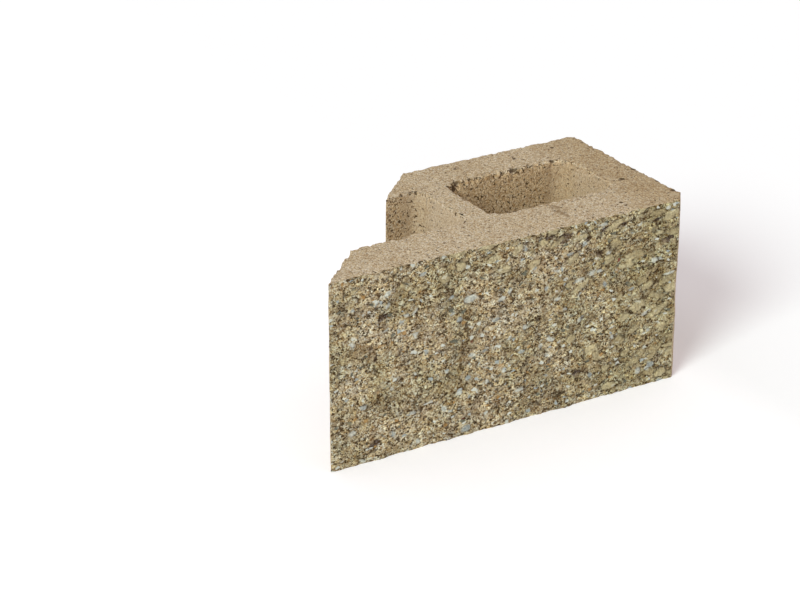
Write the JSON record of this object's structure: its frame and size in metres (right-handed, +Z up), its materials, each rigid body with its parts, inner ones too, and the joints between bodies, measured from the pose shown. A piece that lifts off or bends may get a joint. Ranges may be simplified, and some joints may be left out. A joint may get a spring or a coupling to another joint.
{
  "type": "corner fence block",
  "caption": "Hollow concrete fence block with a rough split front, a mitred end for turning a corner, a closed cell and an open half cell.",
  "frame": {"origin": "middle of the block's box, on the bed face that it stands on", "axes": "+X along the block towards its plain end, +Y from the split front towards the back, +Z up"},
  "size_m": [0.4, 0.2, 0.19],
  "materials": {
    "concrete": "sand-coloured cast concrete, fine grained on the moulded faces and broken on the split front"
  },
  "bodies": {
    "root": {"corner_block": "concrete"}
  },
  "joints": []
}
